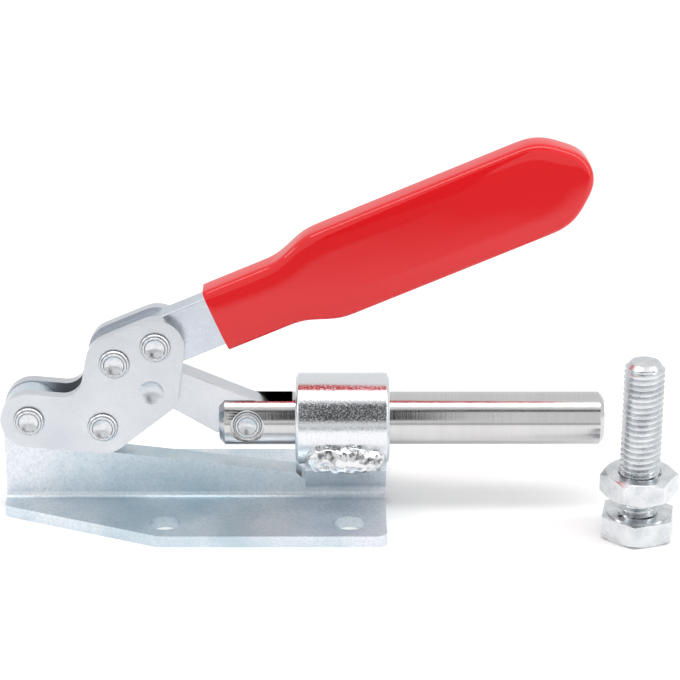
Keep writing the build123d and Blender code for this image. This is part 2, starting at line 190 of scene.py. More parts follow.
def smooth_edges(piece, edge, segments=3):
    """Round the sharp edges and keep the broad faces flat under smooth shading."""
    rounding = piece.modifiers.new("rounded_edges", "BEVEL")
    rounding.width = edge
    rounding.segments = segments
    rounding.limit_method = "ANGLE"
    rounding.angle_limit = SHARP_ANGLE
    rounding.harden_normals = True
    piece.modifiers.new("flat_faces", "WEIGHTED_NORMAL").keep_sharp = True


def new_piece(name, shape):
    """An object at the origin from a finished bmesh, smooth shaded."""
    for face in shape.faces:
        face.smooth = True
    mesh = bpy.data.meshes.new(name)
    shape.to_mesh(mesh)
    shape.free()
    piece = bpy.data.objects.new(name, mesh)
    bpy.context.scene.collection.objects.link(piece)
    return piece


def softened(node, edge):
    """A copy of a pressed or cut piece with its edges rounded as tumbling leaves them."""
    shape = bmesh.new()
    shape.from_mesh(nodes[node].data)
    bmesh.ops.remove_doubles(shape, verts=shape.verts, dist=SAME_POINT)
    bmesh.ops.dissolve_limit(
        shape,
        angle_limit=FLAT_ANGLE,
        use_dissolve_boundaries=False,
        verts=shape.verts,
        edges=shape.edges,
    )
    piece = new_piece(node + "_finish", shape)
    smooth_edges(piece, edge)
    return piece


base_zinc = zinc_plate("base_zinc", BASE_ZINC_DULL, BASE_ZINC_CLEAR, BASE_ROUGHNESS, BASE_SPECKLE)
for node in ("base_plate_front", "base_plate_rear"):
    wear(softened(node, SHEARED_EDGE), node, base_zinc)


# ---- guide collar ----------------------------------------------------------------------
# A short thick-walled steel bush, faced and chamfered in the lathe, then plated with zinc.
# It lies in the cradle of the two sheets and is welded to them.
COLLAR_CHAMFER = 0.7 * MM
COLLAR_EDGE = 0.18 * MM
COLLAR_FIT = 0.06 * MM
COLLAR_ZINC = (0.755, 0.78, 0.805)
COLLAR_ZINC_GRAINS = (0.60, 0.63, 0.66)
COLLAR_GRAIN_SCALE = 2500.0
COLLAR_GRAIN_BAND = (0.54, 0.70)
COLLAR_GRAIN_TINT = 0.4
COLLAR_GRAIN_RELIEF = 0.035 * MM
COLLAR_POLISH_BAND = (0.50, 0.66)
COLLAR_ROUGHNESS = (0.12, 0.42)
LATHE_SCALE = 2200.0
LATHE_STRETCH = (1.0, 30.0, 30.0)
LATHE_RELIEF = 0.004 * MM
ROUND_STEPS = 128


def turned(name, profile, centre, axis, steps=ROUND_STEPS):
    """A closed profile, or one that starts and ends on the axis, spun right round."""
    shape = bmesh.new()
    verts = [shape.verts.new(point) for point in profile]
    edges = [shape.edges.new(pair) for pair in zip(verts, verts[1:] + verts[:1])]
    bmesh.ops.spin(
        shape,
        geom=verts + edges,
        cent=centre,
        axis=axis,
        angle=tau,
        steps=steps,
        use_merge=True,
    )
    bmesh.ops.remove_doubles(shape, verts=shape.verts, dist=SAME_POINT)
    bmesh.ops.recalc_face_normals(shape, faces=shape.faces)
    return new_piece(name, shape)


def plated_collar():
    """The bush spun from its section, bored to clear the rod and chamfered at four rims."""
    low, high = map(Vector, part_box("guide_collar"))
    axis_place = (low + high) / 2
    outside = (high.z - low.z) / 2
    rod_low, rod_high = map(Vector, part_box("plunger"))
    inside = (rod_high.z - rod_low.z) / 2 + COLLAR_FIT
    section = []
    for radius, inward in ((outside, -COLLAR_CHAMFER), (inside, COLLAR_CHAMFER)):
        half = [(low.x, radius + inward), (low.x + COLLAR_CHAMFER, radius)]
        half += [(high.x - COLLAR_CHAMFER, radius), (high.x, radius + inward)]
        section += half if radius == outside else half[::-1]
    profile = [(x, axis_place.y, axis_place.z + radius) for x, radius in section]
    return turned("collar_finish", profile, axis_place, (1, 0, 0))


def turned_zinc():
    """Zinc over lathe marks: rings round the bush and scattered duller grains."""
    material, tree, shader = new_material("turned_zinc")
    grains = object_pattern(tree, COLLAR_GRAIN_SCALE, detail=4.0, rough=0.7)
    dulled = spread(tree, grains, COLLAR_GRAIN_BAND, (0.0, COLLAR_GRAIN_TINT))
    colour = blend_colours(tree, dulled, COLLAR_ZINC, COLLAR_ZINC_GRAINS)
    polish = spread(tree, grains, COLLAR_POLISH_BAND, COLLAR_ROUGHNESS)
    colour_and_polish(tree, shader, colour, polish)
    rings = object_pattern(tree, LATHE_SCALE, LATHE_STRETCH, detail=3.0)
    raise_bumps(tree, shader, (rings, LATHE_RELIEF), (grains, COLLAR_GRAIN_RELIEF))
    return material


collar = plated_collar()
smooth_edges(collar, COLLAR_EDGE)
wear(collar, "guide_collar", turned_zinc())


# ---- weld beads ------------------------------------------------------------------------
# One hand-laid weld on each side, in the crook between the cradle sheet and the collar.  The
# metal froze in rough overlapping drops with pits between them, and was plated over.
BEAD_RADIUS = 4.4 * MM
BEAD_DRAWN_IN = 0.15 * MM
BEAD_SUNK = 0.1 * MM
BEAD_STATIONS = 110
BEAD_STEPS = 96
BLUNT_POWER = 5
BEAD_LUMP = 0.85 * MM
BEAD_PIT = 1.3 * MM
BEAD_DEEPEST = 2.2 * MM
MM_PER_METRE = 1000.0
DROP_SCALE = 0.26
DROP_HEIGHT = 1.6
SMALL_DROP_SCALE = 0.8
SMALL_DROP_HEIGHT = 0.22
DROP_SHARE = 0.8
RIPPLE_SCALE = 2.1
RIPPLE_SHARE = 0.2
SWAY_SCALE = 0.25
SWAY_WIDTH = 4.0
PIT_SCALE = 0.30
PIT_REACH = 0.22
PIT_POWER = 0.6
WELD_BRIGHT = (0.76, 0.77, 0.78)
WELD_DARK = (0.20, 0.21, 0.225)
HOLLOW_SCALE = 330.0
HOLLOW_BAND = (0.57, 0.66)
HOLLOW_RELIEF = 0.09 * MM
WELD_ROUGHNESS = (0.12, 0.34)
MIDDLE_BAND = (0.35, 0.65)


def weld(node, outward, seed):
    """A blunt-ended roll along the seam, roughened by drops, ripples and pits."""
    low, high = map(Vector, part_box(node))
    seam_y = (low.y + BEAD_RADIUS) if outward < 0 else (high.y - BEAD_RADIUS)
    seam_z = low.z + BEAD_RADIUS - BEAD_SUNK
    length = high.x - low.x
    profile = []
    for station in range(BEAD_STATIONS + 1):
        share = 2 * station / BEAD_STATIONS - 1
        radius = (BEAD_RADIUS - BEAD_DRAWN_IN) * sqrt(max(0.0, 1 - abs(share) ** BLUNT_POWER))
        profile.append(Vector((low.x + length * (share + 1) / 2, seam_y, seam_z + radius)))
    piece = turned(node + "_finish", profile, (low.x, seam_y, seam_z), (1, 0, 0), BEAD_STEPS)
    for vertex in piece.data.vertices:
        place = vertex.co * MM_PER_METRE
        centre = Vector((vertex.co.x, seam_y, seam_z))
        drops = DROP_HEIGHT * abs(noise.noise(place * DROP_SCALE + seed))
        drops += SMALL_DROP_HEIGHT * abs(noise.noise(place * SMALL_DROP_SCALE + seed))
        sway = SWAY_WIDTH * noise.noise(place * SWAY_SCALE + seed)
        ripple = 0.5 + 0.5 * sin(place.x * RIPPLE_SCALE + sway)
        hole = noise.voronoi(place * PIT_SCALE + 2 * seed)[0][0]
        pit = max(0.0, 1 - hole / PIT_REACH) ** PIT_POWER
        sink = BEAD_LUMP * (DROP_SHARE * drops + RIPPLE_SHARE * ripple) + BEAD_PIT * pit
        vertex.co -= (vertex.co - centre).normalized() * min(sink, BEAD_DEEPEST)
        vertex.co.x = min(max(vertex.co.x, low.x), high.x)
    return piece


def weld_metal():
    """Frozen weld: smooth bright crowns between dark scaly hollows."""
    material, tree, shader = new_material("weld_metal")
    scale = object_pattern(tree, HOLLOW_SCALE, detail=3.5, rough=0.5)
    colour = blend_colours(tree, spread(tree, scale, HOLLOW_BAND), WELD_BRIGHT, WELD_DARK)
    colour_and_polish(tree, shader, colour, spread(tree, scale, MIDDLE_BAND, WELD_ROUGHNESS))
    raise_bumps(tree, shader, (scale, HOLLOW_RELIEF))
    return material


weld_finish = weld_metal()
for node, outward, seed in (
    ("weld_bead_front", -1, Vector((3.1, 0.4, 7.7))),
    ("weld_bead_rear", 1, Vector((9.6, 5.2, 1.3))),
):
    wear(weld(node, outward, seed), node, weld_finish)


# ---- plunger ---------------------------------------------------------------------------
# A round steel rod, ground to slide in the collar and left unplated.  Its tail is milled
# with a slot for the link, its walls painted dark as shade, and with two spot faces for the
# rivet.  Its nose is bored and tapped for the spindle bolt.
MILLED_EDGE = 0.15 * MM
GROUND_STEEL = (0.62, 0.62, 0.62)
GROUND_STEEL_DARK = (0.46, 0.46, 0.46)
GROUND_ROUGHNESS = (0.13, 0.22)
GRINDING_SCALE = 2600.0
GRINDING_STRETCH = (1.0, 60.0, 60.0)
GRINDING_BAND = (0.45, 0.75)
GRINDING_TINT = 0.2
GRINDING_RELIEF = 0.010 * MM
TONE_SCALE = 160.0
TONE_STRETCH = (1.0, 20.0, 20.0)
TONE_TINT = 0.2
SLOT_PAINTED_SHADE = (0.02, 0.02, 0.02)
SLOT_HALF_WIDTH = 3.2 * MM
SLOT_END = 8.6 * MM
SLOT_BLUR = 0.05 * MM


def object_axis(tree, axis):
    """Where a point lies along one axis of its piece."""
    place = tree.nodes.new("ShaderNodeTexCoord")
    parts = tree.nodes.new("ShaderNodeSeparateXYZ")
    tree.links.new(place.outputs["Object"], parts.inputs["Vector"])
    return parts.outputs[axis]


def slot_shade_mask(tree):
    """One on the slot's walls and end, where shade is painted, nought on the rest of the rod."""
    inside = (1.0, 0.0)
    across = tree.nodes.new("ShaderNodeMath")
    across.operation = "ABSOLUTE"
    tree.links.new(object_axis(tree, "Y"), across.inputs[0])
    width_band = (SLOT_HALF_WIDTH, SLOT_HALF_WIDTH + SLOT_BLUR)
    between = spread(tree, across.outputs[0], width_band, inside)
    before = spread(tree, object_axis(tree, "X"), (SLOT_END, SLOT_END + SLOT_BLUR), inside)
    both = tree.nodes.new("ShaderNodeMath")
    both.operation = "MULTIPLY"
    tree.links.new(between, both.inputs[0])
    tree.links.new(before, both.inputs[1])
    return both.outputs[0]


def ground_steel():
    """Bare steel: fine rings left by the wheel, in bands of tone, and painted shade in the slot."""
    material, tree, shader = new_material("ground_steel")
    rings = object_pattern(tree, GRINDING_SCALE, GRINDING_STRETCH, detail=3.0, rough=0.7)
    bands = object_pattern(tree, TONE_SCALE, TONE_STRETCH, detail=2.0)
    toned = spread(tree, bands, GRAIN_BAND, (0.0, TONE_TINT))
    ringed = spread(tree, rings, GRINDING_BAND, (0.0, GRINDING_TINT))
    colour = blend_colours(tree, toned, GROUND_STEEL, GROUND_STEEL_DARK)
    colour = blend_colours(tree, ringed, colour, GROUND_STEEL_DARK)
    # Painted shade: the slot's walls and end are darkened near black, as the deep slot lies in
    # shadow.
    colour = blend_colours(tree, slot_shade_mask(tree), colour, SLOT_PAINTED_SHADE)
    colour_and_polish(tree, shader, colour, spread(tree, rings, GRAIN_BAND, GROUND_ROUGHNESS))
    raise_bumps(tree, shader, (rings, GRINDING_RELIEF))
    return material


wear(softened("plunger", MILLED_EDGE), "plunger", ground_steel())


# ---- side plates -----------------------------------------------------------------------
# Two mirrored plates of 3 mm steel that carry the bar and turn on the base rivet.  Each has
# a pressed stop, a round pit outside and a bump inside.  Blanked and zinc plated.
LEVER_ZINC_DULL = (0.585, 0.61, 0.65)
LEVER_ZINC_CLEAR = (0.675, 0.695, 0.73)
LEVER_SPECKLE = 0.14
PLATE_ROUGHNESS = 0.34
PLATE_GRAIN_TURN = radians(-40)

lever_zinc = zinc_plate(
    "lever_zinc",
    LEVER_ZINC_DULL,
    LEVER_ZINC_CLEAR,
    PLATE_ROUGHNESS,
    LEVER_SPECKLE,
    PLATE_GRAIN_TURN,
)
for node in ("side_plate_front", "side_plate_rear"):
    wear(softened(node, SHEARED_EDGE), node, lever_zinc)


# ---- handle bar ------------------------------------------------------------------------
# A flat bar blanked from 6 mm plate and zinc plated, held between the side plates by two
# rivets.  Only its bare neck shows; the rest is inside the grip.
BAR_EDGE = 0.35 * MM
BAR_SLOPE = radians(-23.35)
BAR_ZINC_DULL = (0.54, 0.59, 0.66)
BAR_ZINC_CLEAR = (0.68, 0.715, 0.77)
BAR_ROUGHNESS = 0.30
BAR_SPECKLE = 0.2

bar_zinc = zinc_plate(
    "bar_zinc",
    BAR_ZINC_DULL,
    BAR_ZINC_CLEAR,
    BAR_ROUGHNESS,
    BAR_SPECKLE,
    BAR_SLOPE,
)
wear(softened("handle_bar", BAR_EDGE), "handle_bar", bar_zinc)


# ---- grip ------------------------------------------------------------------------------
# Soft vinyl 1 to 2 mm thick, made by dipping the hot bar: glossy, full over the faces, with
# a plain lip and the last drop set at the tip.
FRAME_ROUND = 3.7 * MM
WALL_TOLERANCE = 0.01 * MM
OUTLINE_STEP = 1.0 * MM
OUTLINE_PASSES = 3
GRIP_ROUND = 2.0 * MM
GRIP_HALF_DEPTH = 4.45 * MM
GRIP_DOME = 0.40 * MM
DOME_WIDTH = 4.8 * MM
DOME_STEPS = 10
ROUND_OFF_STEPS = 8
LIP_EDGE = 0.4 * MM
LIP_ANGLE = radians(45)
VINYL_RED = (0.65, 0.011, 0.015)
VINYL_RED_DEEP = (0.60, 0.009, 0.012)
VINYL_IOR = 1.49
VINYL_ROUGHNESS = (0.05, 0.10)
VINYL_SPECK_SCALE = 900.0
VINYL_SPECK_BAND = (0.35, 0.7)
VINYL_SPECK_RELIEF = 0.002 * MM
RUN_SCALE = 38.0
RUN_STRETCH = (2.5, 1.0, 1.0)
RUN_RELIEF = 0.35 * MM


def sleeve_outline():
    """Points round the sleeve in its middle plane, read in order from its frame node."""
    low, high = map(Vector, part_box("grip"))
    wall = (high.y - low.y) / 2 - FRAME_ROUND
    source = bmesh.new()
    source.from_mesh(nodes["grip"].data)
    bmesh.ops.remove_doubles(source, verts=source.verts, dist=SAME_POINT)
    neighbours = {}
    for edge in source.edges:
        if all(abs(vertex.co.y + wall) < WALL_TOLERANCE for vertex in edge.verts):
            first, second = edge.verts
            neighbours.setdefault(first, []).append(second)
            neighbours.setdefault(second, []).append(first)
    walk = [next(vertex for vertex, others in neighbours.items() if len(others) == 1)]
    while len(walk) < len(neighbours):
        walk.append(next(vertex for vertex in neighbours[walk[-1]] if vertex not in walk[-2:]))
    points = [Vector(vertex.co.xz) for vertex in walk]
    source.free()
    return points


def eased(points):
    """The open outline smoothed once, its ends kept."""
    threes = zip(points, points[1:], points[2:])
    inner = [(before + 2 * point + after) / 4 for before, point, after in threes]
    return [points[0], *inner, points[-1]]


def even_spacing(points):
    """The same open outline in equal steps, its corners eased as thick vinyl eases them."""
    spaced = [points[0]]
    left = OUTLINE_STEP
    for start, end in zip(points, points[1:]):
        length = (end - start).length
        while left <= length:
            spaced.append(start.lerp(end, left / length))
            left += OUTLINE_STEP
        left -= length
    spaced[-1] = points[-1]
    for _ in range(OUTLINE_PASSES):
        spaced = eased(spaced)
    return spaced


def drawn_in(points, distance):
    """The open outline moved inwards; its ends slide along the straight lip."""
    moved = []
    for before, point, after in zip([points[0], *points], points, [*points[1:], points[-1]]):
        along = (after - before).normalized()
        moved.append(point + Vector((along.y, -along.x)) * distance)
    return moved


def sleeve_section():
    """Steps (inward, outward) from the side wall, round the edge and up the domed face."""
    round_end = pi / 2 - 2 * GRIP_DOME / DOME_WIDTH
    section = []
    for step in range(ROUND_OFF_STEPS + 1):
        turn = round_end * step / ROUND_OFF_STEPS
        outward = GRIP_HALF_DEPTH - GRIP_ROUND * (1 - sin(turn))
        section.append((GRIP_ROUND * (1 - cos(turn)), outward))
    edge_inward, edge_outward = section[-1]
    for step in range(1, DOME_STEPS + 1):
        share = step / DOME_STEPS
        outward = edge_outward + GRIP_DOME * (1 - (1 - share) ** 2)
        section.append((edge_inward + DOME_WIDTH * share, outward))
    return section


def dipped_sleeve():
    """Outlines stacked by the section on both sides of the middle plane and bridged."""
    points = even_spacing(sleeve_outline())
    inside = (points[0] + points[-1]) / 2 - points[0]
    along = points[1] - points[0]
    if along.y * inside.x - along.x * inside.y < 0:
        points.reverse()
    section = sleeve_section()
    outlines = [points]
    for (inward, _), (further, _) in zip(section, section[1:]):
        outlines.append(eased(drawn_in(outlines[-1], further - inward)))
    half = [(outline, out) for outline, (_, out) in zip(outlines, section)]
    shape = bmesh.new()
    rings = []
    for outline, y in [(outline, -out) for outline, out in reversed(half)] + half:
        verts = [shape.verts.new((point.x, y, point.y)) for point in outline]
        rings.append([shape.edges.new(pair) for pair in zip(verts, verts[1:] + verts[:1])])
    for near, far in zip(rings, rings[1:]):
        bmesh.ops.bridge_loops(shape, edges=near + far)
    for ends in (rings[0], rings[-1]):
        bmesh.ops.contextual_create(shape, geom=ends)
    bmesh.ops.recalc_face_normals(shape, faces=shape.faces)
    piece = new_piece("grip_finish", shape)
    lip = piece.modifiers.new("rounded_lip", "BEVEL")
    lip.width = LIP_EDGE
    lip.segments = 3
    lip.limit_method = "ANGLE"
    lip.angle_limit = LIP_ANGLE
    return piece


def dipped_vinyl():
    """Glossy plasticised vinyl, a little deeper in tone where the dip ran thick."""
    material, tree, shader = new_material("red_vinyl", metallic=0.0)
    shader.inputs["IOR"].default_value = VINYL_IOR
    runs = object_pattern(tree, RUN_SCALE, RUN_STRETCH, BAR_SLOPE, detail=2.0)
    colour = blend_colours(tree, spread(tree, runs, MIDDLE_BAND), VINYL_RED, VINYL_RED_DEEP)
    specks = object_pattern(tree, VINYL_SPECK_SCALE, detail=3.0)
    polish = spread(tree, specks, VINYL_SPECK_BAND, VINYL_ROUGHNESS)
    colour_and_polish(tree, shader, colour, polish)
    raise_bumps(tree, shader, (runs, RUN_RELIEF), (specks, VINYL_SPECK_RELIEF))
    return material


wear(dipped_sleeve(), "grip", dipped_vinyl())


# ---- link ------------------------------------------------------------------------------
# A cranked flat link of 6 mm plate, blanked and zinc plated.  It joins the side plates to
# the plunger, and its front eye is a hook that drops into the plunger's slot.
LINK_ROUGHNESS = 0.32
LINK_GRAIN_TURN = radians(25)

link_zinc = zinc_plate(
    "link_zinc",
    LEVER_ZINC_DULL,
    LEVER_ZINC_CLEAR,
    LINK_ROUGHNESS,
    LEVER_SPECKLE,
    LINK_GRAIN_TURN,
)
wear(softened("link", SHEARED_EDGE), "link", link_zinc)


# ---- rivets ----------------------------------------------------------------------------
# Five solid steel pins, each headed on both sides by an orbital punch, which leaves a raised
# ring round a shallow cup.  Zinc plated, so they are brighter than the plates.
SKIRT_SHARE = 0.84
SKIRT_HEIGHT_SHARE = 0.72
RING_SHARE = 0.74
RING_FALL_SHARE = 0.8
RING_INNER_TURN = 160
CUP_SHARE = 0.66
CUP_DEPTH = 1.05 * MM
SHANK_RADIUS = 3.0 * MM
CURVE_STEPS = 8
RIVET_STEPS = 72
PLATE_HEAD_HEIGHT = 1.4 * MM
PLUNGER_HEAD_HEIGHT = 0.9 * MM
RIVET_ZINC = (0.70, 0.715, 0.74)
RIVET_ZINC_DULL = (0.50, 0.52, 0.55)
RIVET_ROUGHNESS = (0.22, 0.36)
RIVET_CREASE_SHADE = (0.16, 0.165, 0.175)
CREASE_WIDTH = 0.045
CREASE_SHADE_TINT = 0.9
RUB_SCALE = 1100.0
RUB_BAND = (0.48, 0.68)
RUB_TINT = 0.45
RUB_RELIEF = 0.014 * MM


def arc(centre, radii, start, end):
    """Points (across, along) on an ellipse, start and end in degrees from across."""
    points = []
    for step in range(CURVE_STEPS + 1):
        turn = radians(start + (end - start) * step / CURVE_STEPS)
        points.append((centre[0] + radii[0] * cos(turn), centre[1] + radii[1] * sin(turn)))
    return points


def formed_rivet(node, head_height):
    """A pin with two formed heads, spun from its half section and its mirror."""
    low, high = map(Vector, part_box(node))
    centre = (low + high) / 2
    face = (high.y - low.y) / 2
    head = (high.x - low.x) / 2
    skirt = SKIRT_SHARE * head
    crest = RING_SHARE * head
    cup = CUP_SHARE * head
    skirt_height = SKIRT_HEIGHT_SHARE * head_height
    ring_height = head_height - skirt_height
    ring_centre = (crest, face - ring_height)
    ring_fall = RING_FALL_SHARE * (skirt - crest)
    half = [(SHANK_RADIUS, face - head_height)]
    half += arc((skirt, face - head_height), (head - skirt, skirt_height), 0, 90)
    half += arc(ring_centre, (ring_fall, ring_height), 0, 90)
    half += arc(ring_centre, (crest - cup, ring_height), 90, RING_INNER_TURN)[1:]
    rim, rim_height = half[-1]
    floor_height = face - CUP_DEPTH
    for step in range(1, CURVE_STEPS + 1):
        share = 1 - step / CURVE_STEPS
        half.append((rim * share, floor_height + (rim_height - floor_height) * share**2))
    outline = [(across, -along) for across, along in reversed(half)] + half
    profile = [(centre.x + across, centre.y + along, centre.z) for across, along in outline]
    piece = turned(node + "_finish", profile, centre, (0, 1, 0), RIVET_STEPS)
    # The crease attribute marks the head's creases, where painted shade darkens the zinc.
    marks = piece.data.attributes.new("crease", "FLOAT", "POINT")
    for vertex, mark in zip(piece.data.vertices, marks.data):
        share = (vertex.co - centre).xz.length / head
        nearest = min(abs(share - crease) for crease in (SKIRT_SHARE, CUP_SHARE, 1.0))
        mark.value = max(0.0, 1 - nearest / CREASE_WIDTH)
    return piece


def rivet_metal():
    """Plated rivet steel, a little dull where the punch rubbed it; painted shade in its creases."""
    material, tree, shader = new_material("rivet_zinc")
    rub = object_pattern(tree, RUB_SCALE, detail=5.0, rough=0.65)
    dulled = spread(tree, rub, RUB_BAND, (0.0, RUB_TINT))
    crease = tree.nodes.new("ShaderNodeAttribute")
    crease.attribute_name = "crease"
    crease_shade = spread(tree, crease.outputs["Fac"], (0.0, 1.0), (0.0, CREASE_SHADE_TINT))
    colour = blend_colours(tree, dulled, RIVET_ZINC, RIVET_ZINC_DULL)
    # Painted shade: the head's creases are darkened as if in shadow.
    colour = blend_colours(tree, crease_shade, colour, RIVET_CREASE_SHADE)
    colour_and_polish(tree, shader, colour, spread(tree, rub, MIDDLE_BAND, RIVET_ROUGHNESS))
    raise_bumps(tree, shader, (rub, RUB_RELIEF))
    return material


rivet_zinc = rivet_metal()
for node, head_height in (
    ("base_rivet", PLATE_HEAD_HEIGHT),
    ("link_rivet", PLATE_HEAD_HEIGHT),
    ("rear_handle_rivet", PLATE_HEAD_HEIGHT),
    ("front_handle_rivet", PLATE_HEAD_HEIGHT),
    ("plunger_rivet", PLUNGER_HEAD_HEIGHT),
):
    wear(formed_rivet(node, head_height), node, rivet_zinc)


# ---- spindle bolt ----------------------------------------------------------------------
# An M10 hexagon bolt with thread right up to its washer face, cold headed and plated.  It
# stands on its head and screws into the plunger's nose in use.
PITCH = 1.5 * MM
THREAD_RADIUS = 5.0 * MM
CORE_RADIUS = 4.08 * MM
TIP_CHAMFER = 1.4 * MM
THREAD_STEPS = 60
SPARE_TURNS = 4
THREAD_SECTION = (
    (-1 / 8, CORE_RADIUS),
    (1 / 8, CORE_RADIUS),
    (7 / 16, THREAD_RADIUS),
    (9 / 16, THREAD_RADIUS),
    (7 / 8, CORE_RADIUS),
)
THREAD_SAME_POINT = 0.002 * MM
RIM_TOLERANCE = 0.0001 * MM
SHANK_SUNK = 0.1 * MM
ACROSS_FLATS = 17.0 * MM
HEAD_HEIGHT = 6.0 * MM
WASHER_RADIUS = 7.8 * MM
WASHER_HEIGHT = 0.3 * MM
HEAD_TURN = radians(19.0)
CORNER_DROP = 0.9 * MM
HEX_EDGE = 0.22 * MM
HEX_STEPS = 96
BOLT_ZINC = (0.72, 0.74, 0.755)
BOLT_ZINC_DULL = (0.55, 0.575, 0.605)
BOLT_ROUGHNESS = (0.20, 0.30)
MOTTLE_SCALE = 260.0
MOTTLE_BAND = (0.42, 0.68)
MOTTLE_TINT = 0.9
BOLT_PEEL_SCALE = 700.0
BOLT_PEEL_RELIEF = 0.015 * MM

bolt_low, bolt_high = map(Vector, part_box("spindle_bolt"))
bolt_axis = (bolt_low + bolt_high) / 2


def hexagon_radius(angle):
    """Distance from the middle to the side of the hexagon, a corner lying at angle 0."""
    return ACROSS_FLATS / 2 / cos((angle % radians(60)) - radians(30))


def ring(shape, place):
    """A closed ring of edges about the bolt's axis; place(angle) gives radius and height."""
    verts = bmesh.ops.create_circle(shape, segments=HEX_STEPS, radius=1.0)["verts"]
    for vertex in verts:
        angle = Vector(vertex.co.xy).angle_signed(Vector((1, 0)))
        radius, height = place(angle)
        vertex.co = (bolt_axis.x + radius * cos(angle), bolt_axis.y + radius * sin(angle), height)
    return list({edge for vertex in verts for edge in vertex.link_edges})


def hexagon_block(shape, turn, base, top, chamfered_top, below, above):
    """A hexagon with turned-off corners, between rings that close it below and above."""
    round_part = ACROSS_FLATS / sqrt(3) - CORNER_DROP * sqrt(3)

    def side(height, sign):
        def place(angle):
            radius = hexagon_radius(angle - turn)
            return radius, height + sign * max(0.0, radius - round_part) / sqrt(3)
        return place

    def flat(radius, height):
        return lambda angle: (radius, height)

    places = below + [flat(round_part, base), side(base, 1)]
    places += [side(top, -1), flat(round_part, top)] if chamfered_top else [side(top, 0)]
    places += above
    rings = [ring(shape, place if callable(place) else flat(*place)) for place in places]
    for lower, upper in zip(rings, rings[1:]):
        bmesh.ops.bridge_loops(shape, edges=lower + upper)
    return rings


def threaded_shank(shape, base, tip):
    """A screw surface spun up the axis, drawn in to its core below and its chamfer above."""
    turns = int((tip - base) / PITCH) + SPARE_TURNS
    start = base - SPARE_TURNS / 2 * PITCH
    verts = []
    for share, radius in THREAD_SECTION:
        place = (bolt_axis.x + radius, bolt_axis.y, start + share * PITCH)
        verts.append(shape.verts.new(place))
    edges = [shape.edges.new(pair) for pair in zip(verts, verts[1:])]
    known = set(shape.verts) - set(verts)
    bmesh.ops.spin(
        shape,
        geom=verts + edges,
        cent=(bolt_axis.x, bolt_axis.y, 0),
        axis=(0, 0, 1),
        angle=turns * tau,
        steps=turns * THREAD_STEPS,
        dvec=(0, 0, PITCH / THREAD_STEPS),
    )
    thread = [vertex for vertex in shape.verts if vertex not in known]
    for vertex in thread:
        across = Vector((vertex.co.x - bolt_axis.x, vertex.co.y - bolt_axis.y))
        height = min(max(vertex.co.z, base), tip)
        radius = min(across.length, THREAD_RADIUS - TIP_CHAMFER + tip - height)
        if vertex.co.z < base:
            radius = CORE_RADIUS
        across = across.normalized() * radius
        vertex.co = (bolt_axis.x + across.x, bolt_axis.y + across.y, height)
    bmesh.ops.remove_doubles(shape, verts=thread, dist=THREAD_SAME_POINT)
    for height in (base, tip):
        rim = []
        for edge in shape.edges:
            level = all(abs(vertex.co.z - height) < RIM_TOLERANCE for vertex in edge.verts)
            if edge.is_boundary and level:
                rim.append(edge)
        bmesh.ops.holes_fill(shape, edges=rim, sides=2 * THREAD_STEPS)


def bolt_finish():
    """The head with its washer face, and the thread sunk a little into it."""
    shape = bmesh.new()
    washer_top = HEAD_HEIGHT + WASHER_HEIGHT
    above = [
        (WASHER_RADIUS, HEAD_HEIGHT),
        (WASHER_RADIUS, washer_top),
        (CORE_RADIUS, washer_top),
    ]
    rings = hexagon_block(shape, HEAD_TURN, 0.0, HEAD_HEIGHT, False, [], above)
    for edges in (rings[0], rings[-1]):
        bmesh.ops.holes_fill(shape, edges=edges, sides=HEX_STEPS)
    threaded_shank(shape, washer_top - SHANK_SUNK, bolt_high.z)
    bmesh.ops.recalc_face_normals(shape, faces=shape.faces)
    return new_piece("spindle_bolt_finish", shape)


def bolt_metal():
    """Zinc on cold-headed steel, faintly mottled."""
    material, tree, shader = new_material("bolt_zinc")
    mottle = object_pattern(tree, MOTTLE_SCALE, detail=5.0, rough=0.6)
    dulled = spread(tree, mottle, MOTTLE_BAND, (0.0, MOTTLE_TINT))
    colour = blend_colours(tree, dulled, BOLT_ZINC, BOLT_ZINC_DULL)
    colour_and_polish(tree, shader, colour, spread(tree, mottle, MIDDLE_BAND, BOLT_ROUGHNESS))
    peel = object_pattern(tree, BOLT_PEEL_SCALE, detail=2.0)
    raise_bumps(tree, shader, (peel, BOLT_PEEL_RELIEF))
    return material


bolt_zinc = bolt_metal()
bolt = bolt_finish()
smooth_edges(bolt, HEX_EDGE, 2)
wear(bolt, "spindle_bolt", bolt_zinc)


# ---- lock nut --------------------------------------------------------------------------
# A thin M10 hexagon nut, chamfered and countersunk on both faces, screwed part of the way
# down the spindle bolt to lock it.  Plated like the bolt.
COUNTERSINK = 0.5 * MM


def nut_finish():
    """A hexagon block whose countersinks run into the bore that closes it."""
    low, high = map(Vector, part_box("lock_nut"))
    shape = bmesh.new()
    bottom = [(THREAD_RADIUS, low.z + COUNTERSINK), (THREAD_RADIUS + COUNTERSINK, low.z)]
    top = [(THREAD_RADIUS + COUNTERSINK, high.z), (THREAD_RADIUS, high.z - COUNTERSINK)]
    rings = hexagon_block(shape, 0.0, low.z, high.z, True, bottom, top)
    bmesh.ops.bridge_loops(shape, edges=rings[-1] + rings[0])
    bmesh.ops.recalc_face_normals(shape, faces=shape.faces)
    return new_piece("lock_nut_finish", shape)


nut = nut_finish()
smooth_edges(nut, HEX_EDGE, 2)
wear(nut, "lock_nut", bolt_zinc)


